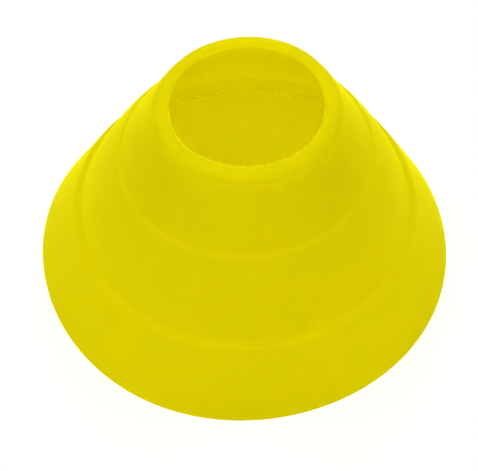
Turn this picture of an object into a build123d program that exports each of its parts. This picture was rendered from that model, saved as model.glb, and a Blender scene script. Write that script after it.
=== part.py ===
from build123d import *
from math import cos, hypot, radians, sin
import os

# Driving dimensions of the marker cone, in millimetres and degrees.
# The axis is Z and the foot stands on Z = 0. Points of the profile are (radius, height).
base_diameter = 300.0
height = 155.0
mouth_diameter = 102.0
wall = 1.6

# The bead round the mouth is oval, with its long axis leaning outwards and down.
bead_width = 8.9
bead_thickness = 7.1
bead_droop = 25.0

# The wall climbs in three bands. The lower two end in a ledge: the shoulder of the band below
# reaches out from under the groove in which the next band starts.
lower_groove_diameter = 233.2
lower_groove_height = 50.3
lower_shoulder_reach = 6.1
lower_shoulder_drop = 1.5
upper_groove_diameter = 170.4
upper_groove_height = 106.2
upper_shoulder_reach = 3.4
upper_shoulder_drop = 1.1

# The upper band ends in a sloping shoulder below the bead, measured from the bead's centre.
top_shoulder_reach = 8.2
top_shoulder_drop = 5.3

# The middle band bulges a little. The other two are straight.
middle_band_bulge = 1.8

# Radii on the outside of the wall
shoulder_rounding = 2.4
groove_rounding = 1.0

# The centre of the bead follows from how far its tilted oval reaches sideways and upwards.
half_width = bead_width / 2
half_thickness = bead_thickness / 2
droop = radians(bead_droop)
bead_reach = hypot(half_width * cos(droop), half_thickness * sin(droop))
bead_rise = hypot(half_width * sin(droop), half_thickness * cos(droop))
bead_centre = (mouth_diameter / 2 + bead_reach, height - bead_rise)

# Corners on the outside of the wall, from the foot to the top shoulder
foot = (base_diameter / 2, 0)
lower_groove = (lower_groove_diameter / 2, lower_groove_height)
lower_shoulder = (lower_groove[0] + lower_shoulder_reach, lower_groove[1] - lower_shoulder_drop)
upper_groove = (upper_groove_diameter / 2, upper_groove_height)
upper_shoulder = (upper_groove[0] + upper_shoulder_reach, upper_groove[1] - upper_shoulder_drop)
top_shoulder = (bead_centre[0] + top_shoulder_reach, bead_centre[1] - top_shoulder_drop)
roundings = {
    lower_shoulder: shoulder_rounding,
    lower_groove: groove_rounding,
    upper_shoulder: shoulder_rounding,
    upper_groove: groove_rounding,
    top_shoulder: shoulder_rounding,
}

# The lowest band is drawn on past the foot by this share of its length, then cut flat there.
overrun = 0.1
slope = (foot[0] - lower_shoulder[0], foot[1] - lower_shoulder[1])
below_foot = (foot[0] + overrun * slope[0], foot[1] + overrun * slope[1])

with BuildPart() as cone_shell:
    with BuildSketch(Plane.XZ) as section:
        with BuildLine() as outside:
            Polyline(below_foot, lower_shoulder, lower_groove)
            SagittaArc(lower_groove, upper_shoulder, -middle_band_bulge)
            Polyline(upper_shoulder, upper_groove, top_shoulder, bead_centre)
            for corner, rounding in roundings.items():
                fillet(outside.vertices().sort_by_distance(corner)[0], rounding)
            offset(amount=wall, side=Side.LEFT)
        make_face()
        with Locations(bead_centre):
            Ellipse(half_width, half_thickness, rotation=-bead_droop)
        with Locations(foot):
            Rectangle(base_diameter, height, align=(Align.CENTER, Align.MAX), mode=Mode.SUBTRACT)
    revolve(axis=Axis.Z)

cone_shell.part.label = "cone_shell"

os.makedirs("parts", exist_ok=True)
export_step(cone_shell.part, "parts/cone_shell.step")
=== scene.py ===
from math import cos, hypot, pi, radians, sin, sqrt

import bmesh
import bpy
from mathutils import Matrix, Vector


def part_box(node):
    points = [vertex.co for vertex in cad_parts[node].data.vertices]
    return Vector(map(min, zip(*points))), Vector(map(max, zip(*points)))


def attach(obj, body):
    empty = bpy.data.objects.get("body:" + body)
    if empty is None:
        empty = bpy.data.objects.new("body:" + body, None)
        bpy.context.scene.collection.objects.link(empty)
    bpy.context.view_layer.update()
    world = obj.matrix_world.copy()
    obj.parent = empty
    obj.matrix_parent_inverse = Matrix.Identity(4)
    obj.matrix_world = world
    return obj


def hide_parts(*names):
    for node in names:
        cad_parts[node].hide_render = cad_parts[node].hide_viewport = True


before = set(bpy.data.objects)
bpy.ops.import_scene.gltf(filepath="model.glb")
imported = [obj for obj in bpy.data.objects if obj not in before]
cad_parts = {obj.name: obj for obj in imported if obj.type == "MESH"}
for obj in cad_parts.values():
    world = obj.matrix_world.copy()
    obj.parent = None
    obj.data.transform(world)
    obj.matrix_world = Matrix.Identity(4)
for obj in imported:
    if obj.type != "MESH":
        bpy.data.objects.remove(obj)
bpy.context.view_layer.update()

# Sizes of the cone, in metres. The axis is Z, and points of the profile are (radius, height).
low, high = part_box("cone_shell")
height = high[2] - low[2]
base_radius = 0.150
mouth_radius = 0.051
wall = 0.0016

# The wall climbs in three bands. A ledge, from a shoulder in to a groove, parts each from the next.
lower_shoulder = (0.1227, 0.0488)
lower_groove = (0.1172, 0.0515)
upper_shoulder = (0.0886, 0.1051)
upper_groove = (0.0856, 0.1070)
middle_band_bulge = 0.0018
shoulder_rounding = 0.003
groove_rounding = 0.003

# The bead round the mouth is an oval that leans outwards and down, on a sloping shoulder.
bead_half_width = 0.00445
bead_half_thickness = 0.00355
bead_droop = radians(25.0)
bead_root_blend = 0.0016
top_shoulder_reach = 0.0082
top_shoulder_drop = 0.0053
top_shoulder_rounding = 0.005

# The wall thins out, on its inside, to the edge of the foot.
foot_edge = 0.0005
foot_taper = 0.004
foot_rounding = 0.0004

# The soft wall has taken a slight set: shares of the radius that come and go 2, 3 and 4 times
# round the foot and round the mouth (cosine and sine part), and a slight lean to the right.
foot_set = {2: (0.0059, 0.0043), 3: (-0.0028, 0.0052), 4: (-0.0026, -0.0046)}
mouth_set = {2: (-0.0143, 0.0113), 3: (-0.0005, -0.0019), 4: (-0.0063, -0.0008)}
lean = 0.0097

# Mesh resolution: steps round the axis, the usual step along the profile, and steps round curves
turns = 288
step = 0.002
bead_steps = 72
bend_steps = 6
foot_steps = 4

# Camera, from a fit of the outline, mouth and grooves to the photograph. The foot's centre is off
# the middle of the image by so many pixels.
image_width = 478
focal_pixels = 1200.0
camera_distance = 0.8969
camera_elevation = radians(54.976)
base_centre_right = 5.81
base_centre_down = 4.34
sensor_width = 36.0

# The plastic: linear colours of the light that it throws back, lets through and mirrors, and of the
# pale edges, which are partly scuffing and partly painted highlight
body_colour = (0.86, 0.895, 0.001)
glow_colour = (0.90, 0.822, 0.001)
gloss_colour = (0.96, 0.905, 0.002)
gloss_colour_inside = (0.90, 0.845, 0.002)
scuff_and_highlight_colour = (0.96, 0.93, 0.03)

# The share of light that each face lets through, by height: a little less in the thick bead. At the foot
# the outside lets less through, which is painted light: the foot reflects more and reads paler against
# the shade by the floor. The inside lets more through, where the wall thins out, and this also paints
# light into the crease where the wall meets the floor.
let_through = {0.0: 0.66, 0.008: 0.75, 0.1455: 0.75, 0.1495: 0.73}
let_through_inside = {0.0: 0.95, 0.010: 0.75, 0.1455: 0.75, 0.1495: 0.73}

# How fast the gloss grows towards grazing angles, and the share of it that is left, by height:
# handling has rubbed the bead dull.
grazing_power = 4.2
grazing_power_inside = 2.0
gloss_left = {0.1455: 1.0, 0.1495: 0.1}

# The body's faint mirroring, and roughness from the smoothest to the dullest patch
body_specular = 0.01
body_roughness = (0.44, 0.56)
gloss_roughness = (0.30, 0.40)

# Grain, cloudy shades, dull patches and waves in the wall: the size of their lumps, how many finer
# layers there are on top, and their depth, which is a share of the colour for the clouds
grain_size = 0.0007
grain_detail = 2.0
grain_depth = 0.000015
cloud_size = 0.03
cloud_detail = 3.0
cloud_depth = 0.007
patch_size = 0.015
patch_detail = 4.0
wave_size = 0.05
wave_detail = 1.0
wave_depth = 0.00015

# Scuffs and painted highlights: their size and finer layers, how far they reach up and down from an
# edge, and how pale they get
scuff_and_highlight_size = 0.004
scuff_and_highlight_detail = 4.0
scuff_and_highlight_reach = 0.002
scuff_and_highlight_strength = 0.08

# The range that a noise mostly keeps to
noise_range = (0.3, 0.7)

# Softboxes round the cone: azimuth from the front, counted to the right, elevation, and power in watts
softboxes = {
    "front_left": (315, 15, 19.1),
    "front_right": (45, 15, 16.3),
    "back_low": (180, 15, 8.3),
    "back_left_high": (225, 65, 22.2),
    "back_right_high": (135, 65, 21.7),
}
softbox_distance = 2.0
softbox_size = 1.0
room_light = 0.01

# The floor. A share of its white is its own where it shows. The rest is lit, and keeps the shadow.
floor_half_width = 4.0
floor_level = 0.0002
pure_white = (1, 1, 1, 1)
white_share = 0.6
white_strength = 0.9


def plus(a, b, k=1.0):
    """The point a moved by k times b."""
    return (a[0] + k * b[0], a[1] + k * b[1])


def gap(a, b):
    """The distance from a to b."""
    return hypot(b[0] - a[0], b[1] - a[1])


def unit(a, b):
    """Unit vector from a to b."""
    d = (b[0] - a[0], b[1] - a[1])
    n = hypot(*d)
    return (d[0] / n, d[1] / n)


def nearest(points, target):
    """The index of the point that lies nearest to target."""
    return min(range(len(points)), key=lambda k: gap(points[k], target))


def line(a, b):
    """Points from a to b, without b, about a step apart."""
    n = max(1, round(gap(a, b) / step))
    return [plus(a, (b[0] - a[0], b[1] - a[1]), i / n) for i in range(n)]


def bulge(a, b, sag):
    """Points from a to b, without b, on a flat arc that stands sag to the right of the chord."""
    along = unit(a, b)
    side = (along[1], -along[0])
    n = max(2, round(gap(a, b) / step))
    points = []
    for i in range(n):
        t = i / n
        on_chord = plus(a, (b[0] - a[0], b[1] - a[1]), t)
        points.append(plus(on_chord, side, 4 * sag * t * (1 - t)))
    return points


def bend(a, corner, b, n=bend_steps):
    """Points from a to b, without b, on a curve that leaves and meets the two sides of corner."""
    points = []
    for i in range(n):
        t = i / n
        u = 1 - t
        points.append(
            tuple(u * u * a[k] + 2 * u * t * corner[k] + t * t * b[k] for k in (0, 1))
        )
    return points


def meeting(a, before_a, b, after_b):
    """Where the line from before_a through a meets the line from after_b through b."""
    d, e = unit(before_a, a), unit(after_b, b)
    across = d[0] * e[1] - d[1] * e[0]
    return plus(a, d, ((b[0] - a[0]) * e[1] - (b[1] - a[1]) * e[0]) / across)


def rounded(points, corner, radius):
    """The polyline with its run near corner replaced by a curve of about that radius."""
    i = nearest(points, corner)
    before = unit(points[i - 1], points[i])
    after = unit(points[i], points[i + 1])
    half_turn_sine = sqrt((1 - before[0] * after[0] - before[1] * after[1]) / 2)
    reach = radius * half_turn_sine / sqrt(1 - half_turn_sine**2)
    start = i
    while gap(points[start], corner) < reach:
        start -= 1
    end = i
    while gap(points[end], corner) < reach:
        end += 1
    enter = plus(corner, before, -reach)
    leave = plus(corner, after, reach)
    return points[: start + 1] + bend(enter, corner, leave) + [leave] + points[end:]


def outer_skin(bead_centre):
    """The outside of the wall from the foot to the middle of the bead."""
    top_shoulder = plus(bead_centre, (top_shoulder_reach, -top_shoulder_drop))
    points = line((base_radius, 0.0), lower_shoulder)
    points += line(lower_shoulder, lower_groove)
    points += bulge(lower_groove, upper_shoulder, middle_band_bulge)
    points += line(upper_shoulder, upper_groove)
    points += line(upper_groove, top_shoulder)
    points += line(top_shoulder, bead_centre)
    for corner, radius in (
        (lower_shoulder, shoulder_rounding),
        (lower_groove, groove_rounding),
        (upper_shoulder, shoulder_rounding),
        (upper_groove, groove_rounding),
        (top_shoulder, top_shoulder_rounding),
    ):
        points = rounded(points, corner, radius)
    return points


def inner_skin(outside):
    """The same line moved in by the thickness of the wall, which thins out to the foot's edge."""
    points = []
    for i, p in enumerate(outside):
        before = outside[max(i - 1, 0)]
        after = outside[min(i + 1, len(outside) - 1)]
        along = unit(before, after)
        thinner = (wall - foot_edge) * max(0.0, 1 - p[1] / foot_taper)
        points.append(plus(p, (-along[1], along[0]), wall - thinner))
    first = next(i for i, p in enumerate(points) if p[1] > 0)
    a, b = points[first - 1], points[first]
    foot = plus(a, (b[0] - a[0], b[1] - a[1]), -a[1] / (b[1] - a[1]))
    return [foot] + points[first:]


def bead_oval(centre):
    """The bead's section, from its outer side over the top to its inner side and round."""
    points = []
    for i in range(bead_steps):
        t = 2 * pi * i / bead_steps
        u, v = bead_half_width * cos(t), bead_half_thickness * sin(t)
        x = u * cos(bead_droop) + v * sin(bead_droop)
        y = v * cos(bead_droop) - u * sin(bead_droop)
        points.append(plus(centre, (x, y)))
    return points


def in_bead(p, centre, grow=0.0):
    """True inside the bead's oval, or inside one that is larger by grow all round."""
    x, y = p[0] - centre[0], p[1] - centre[1]
    u = x * cos(bead_droop) - y * sin(bead_droop)
    v = x * sin(bead_droop) + y * cos(bead_droop)
    return (u / (bead_half_width + grow)) ** 2 + (v / (bead_half_thickness + grow)) ** 2 < 1


def foot_curve(up):
    """The rounded outer edge of the foot, and the outside above it."""
    under = plus(up[0], (-1.0, 0.0), foot_rounding)
    above = plus(up[0], unit(up[0], up[1]), foot_rounding)
    first = next(i for i, p in enumerate(up) if p[1] > above[1] + foot_rounding)
    return bend(under, up[0], above, foot_steps) + [above] + up[first:]


def section():
    """The section of the wall in two runs: up the outside and round the bead, and down the inside."""
    reach = hypot(bead_half_width * cos(bead_droop), bead_half_thickness * sin(bead_droop))
    rise = hypot(bead_half_width * sin(bead_droop), bead_half_thickness * cos(bead_droop))
    centre = (mouth_radius + reach, height - rise)
    outside = outer_skin(centre)
    inside = inner_skin(outside)
    up = [p for p in outside if not in_bead(p, centre, bead_root_blend)]
    down = [p for p in reversed(inside) if not in_bead(p, centre, bead_root_blend)]
    root_out = next(p for p in outside if in_bead(p, centre))
    root_in = next(p for p in inside if in_bead(p, centre))
    clear = [
        p for p in bead_oval(centre)
        if min(gap(p, q) for q in outside + inside) > bead_root_blend
    ]
    start = nearest(clear, root_out)
    clear = clear[start:] + clear[:start]
    loop = foot_curve(up)
    loop += bend(up[-1], meeting(up[-1], up[-2], clear[0], clear[1]), clear[0])[1:]
    loop += clear
    loop += bend(clear[-1], root_in, down[0])[1:]
    return loop, down


def swell(waves, a):
    """The share by which the radius is larger in direction a."""
    return sum(c * cos(n * a) + s * sin(n * a) for n, (c, s) in waves.items())


def lathe(name, outside, inside):
    """A closed mesh made by turning the section round Z, with its inner skin marked."""
    loop = outside + inside
    mesh = bmesh.new()
    mark = mesh.verts.layers.float.new("inside")
    rings = []
    for k in range(turns):
        a = 2 * pi * k / turns
        at_foot, at_mouth = swell(foot_set, a), swell(mouth_set, a)
        ring = []
        for r, z in loop:
            r *= 1 + at_foot + (at_mouth - at_foot) * z / height
            ring.append(mesh.verts.new((r * cos(a) + lean * z, r * sin(a), z)))
            ring[-1][mark] = float(len(ring) > len(outside))
        rings.append(ring)
    n = len(loop)
    for k in range(turns):
        here, there = rings[k], rings[(k + 1) % turns]
        for i in range(n):
            mesh.faces.new((here[i], there[i], there[(i + 1) % n], here[(i + 1) % n]))
    bmesh.ops.recalc_face_normals(mesh, faces=mesh.faces)
    data = bpy.data.meshes.new(name)
    mesh.to_mesh(data)
    mesh.free()
    data.polygons.foreach_set("use_smooth", [True] * len(data.polygons))
    piece = bpy.data.objects.new(name, data)
    bpy.context.scene.collection.objects.link(piece)
    return piece


def node(tree, kind, **values):
    """A shader node with its sockets set by name."""
    n = tree.nodes.new(kind)
    for key, value in values.items():
        n.inputs[key.replace("_", " ")].default_value = value
    return n


def new_material(name):
    """An empty material and its node tree."""
    mat = bpy.data.materials.new(name)
    mat.use_nodes = True
    mat.node_tree.nodes.clear()
    return mat, mat.node_tree


def combine(tree, operation, a, b):
    """The result of a Math node. Each of its two values is a number or another node's output."""
    n = tree.nodes.new("ShaderNodeMath")
    n.operation = operation
    for socket, value in zip(n.inputs, (a, b)):
        if isinstance(value, float):
            socket.default_value = value
        else:
            tree.links.new(value, socket)
    return n.outputs[0]


def blend(tree, share, a, b):
    """A colour that goes from a to b with the share. Either is a fixed one or another node's output."""
    n = tree.nodes.new("ShaderNodeMix")
    n.data_type = "RGBA"
    tree.links.new(share, n.inputs["Factor"])
    for key, colour in (("A", a), ("B", b)):
        if isinstance(colour, tuple):
            n.inputs[key].default_value = (*colour, 1)
        else:
            tree.links.new(colour, n.inputs[key])
    return n.outputs["Result"]


def mix_shaders(tree, share, a, b):
    """The output of a shader that goes from a to b with the share."""
    n = tree.nodes.new("ShaderNodeMixShader")
    tree.links.new(share, n.inputs["Fac"])
    tree.links.new(a, n.inputs[1])
    tree.links.new(b, n.inputs[2])
    return n.outputs["Shader"]


def noise(tree, place, size, detail):
    """Noise with lumps of about that size."""
    n = node(tree, "ShaderNodeTexNoise", Scale=1 / size, Detail=detail)
    tree.links.new(place, n.inputs["Vector"])
    return n.outputs["Fac"]


def spread(tree, value, least, most):
    """The usual range of a noise, stretched to run from least to most."""
    n = node(tree, "ShaderNodeMapRange", To_Min=least, To_Max=most)
    n.inputs["From Min"].default_value, n.inputs["From Max"].default_value = noise_range
    tree.links.new(value, n.inputs["Value"])
    return n.outputs["Result"]


def clouded(tree, value, colour):
    """The colour, a little darker or lighter with the value."""
    ramp = tree.nodes.new("ShaderNodeValToRGB")
    shares = (1 - cloud_depth, 1 + cloud_depth)
    for stop, at, share in zip(ramp.color_ramp.elements, noise_range, shares):
        stop.position = at
        stop.color = (share * colour[0], share * colour[1], share * colour[2], 1)
    tree.links.new(value, ramp.inputs["Fac"])
    return ramp.outputs["Color"]


def by_height(tree, place, values):
    """A value that changes with the height above the ground, in straight runs between those given."""
    axes = tree.nodes.new("ShaderNodeSeparateXYZ")
    tree.links.new(place, axes.inputs["Vector"])
    level = node(tree, "ShaderNodeMapRange", From_Max=height)
    tree.links.new(axes.outputs["Z"], level.inputs["Value"])
    ramp = tree.nodes.new("ShaderNodeValToRGB")
    stops = ramp.color_ramp.elements
    stops.remove(stops[1])
    for z, value in values.items():
        if 0 <= z <= height:
            stops.new(z / height).color = (value, value, value, 1)
    stops.remove(stops[0])
    tree.links.new(level.outputs["Result"], ramp.inputs["Fac"])
    return ramp.outputs["Color"]


def scuffs_and_highlights(tree, place):
    """How far the surface is painted pale in broken lines along the shoulders, bead and foot: wear and
    painted highlight.
    """
    edges = {}
    for z in (0.0, lower_shoulder[1], upper_shoulder[1], height):
        edges.update({z - scuff_and_highlight_reach: 0.0, z: 1.0, z + scuff_and_highlight_reach: 0.0})
    broken = spread(tree, noise(tree, place, scuff_and_highlight_size, scuff_and_highlight_detail), 0.0, scuff_and_highlight_strength)
    return combine(tree, "MULTIPLY", by_height(tree, place, edges), broken)


def uneven(tree, place):
    """Normals of a wall with slow waves and a fine moulded grain."""
    waves = node(tree, "ShaderNodeBump", Strength=1.0, Distance=wave_depth)
    tree.links.new(noise(tree, place, wave_size, wave_detail), waves.inputs["Height"])
    grain = node(tree, "ShaderNodeBump", Strength=1.0, Distance=grain_depth)
    tree.links.new(noise(tree, place, grain_size, grain_detail), grain.inputs["Height"])
    tree.links.new(waves.outputs["Normal"], grain.inputs["Normal"])
    return grain.outputs["Normal"]


def grazing(tree, inside):
    """Near 0 where the surface is seen head on, and 1 along its outline."""
    weight = node(tree, "ShaderNodeLayerWeight", Blend=0.5)
    power = node(tree, "ShaderNodeMapRange", To_Min=grazing_power, To_Max=grazing_power_inside)
    tree.links.new(inside, power.inputs["Value"])
    return combine(tree, "POWER", weight.outputs["Facing"], power.outputs["Result"])


def polyethylene():
    """Self-coloured yellow polyethylene as it leaves the mould: satin, translucent, lightly scuffed,
    with painted highlights.
    """
    mat, tree = new_material("yellow_polyethylene")
    place = tree.nodes.new("ShaderNodeTexCoord").outputs["Object"]
    cloud = noise(tree, place, cloud_size, cloud_detail)
    patch = noise(tree, place, patch_size, patch_detail)
    normal = uneven(tree, place)
    mark = tree.nodes.new("ShaderNodeAttribute")
    mark.attribute_name = "inside"
    inside = mark.outputs["Fac"]

    body = node(tree, "ShaderNodeBsdfPrincipled", Specular_IOR_Level=body_specular)
    # Pale edges: partly scuffing, partly painted highlight along the shoulders and the bead's top
    rubbed_and_highlit = blend(tree, scuffs_and_highlights(tree, place), clouded(tree, cloud, body_colour), scuff_and_highlight_colour)
    tree.links.new(rubbed_and_highlit, body.inputs["Base Color"])
    tree.links.new(spread(tree, patch, *body_roughness), body.inputs["Roughness"])
    glow = tree.nodes.new("ShaderNodeBsdfTranslucent")
    tree.links.new(clouded(tree, cloud, glow_colour), glow.inputs["Color"])
    gloss = tree.nodes.new("ShaderNodeBsdfGlossy")
    tree.links.new(blend(tree, inside, gloss_colour, gloss_colour_inside), gloss.inputs["Color"])
    tree.links.new(spread(tree, patch, *gloss_roughness), gloss.inputs["Roughness"])
    for shader in (body, glow, gloss):
        tree.links.new(normal, shader.inputs["Normal"])

    # By height, these shares paint the outside of the foot paler and paint light into the inner crease
    # at the foot
    outer = by_height(tree, place, let_through)
    inner = by_height(tree, place, let_through_inside)
    through = blend(tree, inside, outer, inner)
    lit = mix_shaders(tree, through, body.outputs["BSDF"], glow.outputs["BSDF"])
    shine = combine(tree, "MULTIPLY", grazing(tree, inside), by_height(tree, place, gloss_left))
    satin = mix_shaders(tree, shine, lit, gloss.outputs["BSDF"])
    out = tree.nodes.new("ShaderNodeOutputMaterial")
    tree.links.new(satin, out.inputs["Surface"])
    return mat


def in_sight(tree):
    """1 for rays that show the background: straight, mirrored or through glass, but not scattered."""
    path = tree.nodes.new("ShaderNodeLightPath").outputs
    through = combine(tree, "SUBTRACT", path["Is Transmission Ray"], path["Is Diffuse Ray"])
    mirrored = combine(tree, "MAXIMUM", path["Is Glossy Ray"], through)
    return combine(tree, "MAXIMUM", path["Is Camera Ray"], mirrored)


def paper():
    """Plain white, with some white of its own where it shows outside the cone's foot."""
    mat, tree = new_material("floor_white")
    lit = node(tree, "ShaderNodeBsdfDiffuse", Color=pure_white)
    white = node(tree, "ShaderNodeEmission", Strength=white_strength)
    place = tree.nodes.new("ShaderNodeTexCoord")
    distance = tree.nodes.new("ShaderNodeVectorMath")
    distance.operation = "LENGTH"
    tree.links.new(place.outputs["Object"], distance.inputs[0])
    outside = combine(tree, "GREATER_THAN", distance.outputs["Value"], base_radius + wall)
    shown = combine(tree, "MULTIPLY", in_sight(tree), outside)
    share = combine(tree, "MULTIPLY", shown, white_share)
    surface = mix_shaders(tree, share, lit.outputs["BSDF"], white.outputs["Emission"])
    out = tree.nodes.new("ShaderNodeOutputMaterial")
    tree.links.new(surface, out.inputs["Surface"])
    return mat


def floor():
    """A plain square floor, which hides the last hair of the foot's edge."""
    signs = ((-1, -1), (1, -1), (1, 1), (-1, 1))
    corners = [(x * floor_half_width, y * floor_half_width, floor_level) for x, y in signs]
    data = bpy.data.meshes.new("floor")
    data.from_pydata(corners, [], [(0, 1, 2, 3)])
    data.materials.append(paper())
    plane = bpy.data.objects.new("floor", data)
    bpy.context.scene.collection.objects.link(plane)


def softbox(name, azimuth, elevation, power):
    """A square lamp that faces the cone from that side."""
    lamp = bpy.data.lights.new(name, "AREA")
    lamp.shape = "SQUARE"
    lamp.size = softbox_size
    lamp.energy = power
    ob = bpy.data.objects.new(name, lamp)
    a, e = radians(azimuth), radians(elevation)
    ob.location = Vector((cos(e) * sin(a), -cos(e) * cos(a), sin(e))) * softbox_distance
    ob.rotation_euler = (ob.location - Vector((0, 0, height / 2))).to_track_quat("Z", "Y").to_euler()
    ob.visible_camera = False
    bpy.context.scene.collection.objects.link(ob)


def room():
    """A dim room, which shows as white."""
    world = bpy.data.worlds.new("studio")
    bpy.context.scene.world = world
    world.use_nodes = True
    tree = world.node_tree
    back = tree.nodes["Background"]
    back.inputs["Color"].default_value = pure_white
    strength = combine(tree, "MAXIMUM", in_sight(tree), room_light)
    tree.links.new(strength, back.inputs["Strength"])


def camera():
    """The camera, where the photograph was taken from."""
    data = bpy.data.cameras.new("camera")
    data.sensor_fit = "HORIZONTAL"
    data.sensor_width = sensor_width
    data.lens = focal_pixels / image_width * sensor_width
    data.shift_x = -base_centre_right / image_width
    data.shift_y = base_centre_down / image_width
    ob = bpy.data.objects.new("camera", data)
    e = camera_elevation
    ob.location = (0, -camera_distance * cos(e), camera_distance * sin(e))
    ob.rotation_euler = Vector(ob.location).to_track_quat("Z", "Y").to_euler()
    bpy.context.scene.collection.objects.link(ob)
    bpy.context.scene.camera = ob


cone = lathe("marker_cone", *section())
cone.data.materials.append(polyethylene())
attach(cone, "root")
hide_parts("cone_shell")

floor()
room()
for name, place in softboxes.items():
    softbox(name, *place)
camera()
bpy.context.scene.view_settings.view_transform = "Standard"
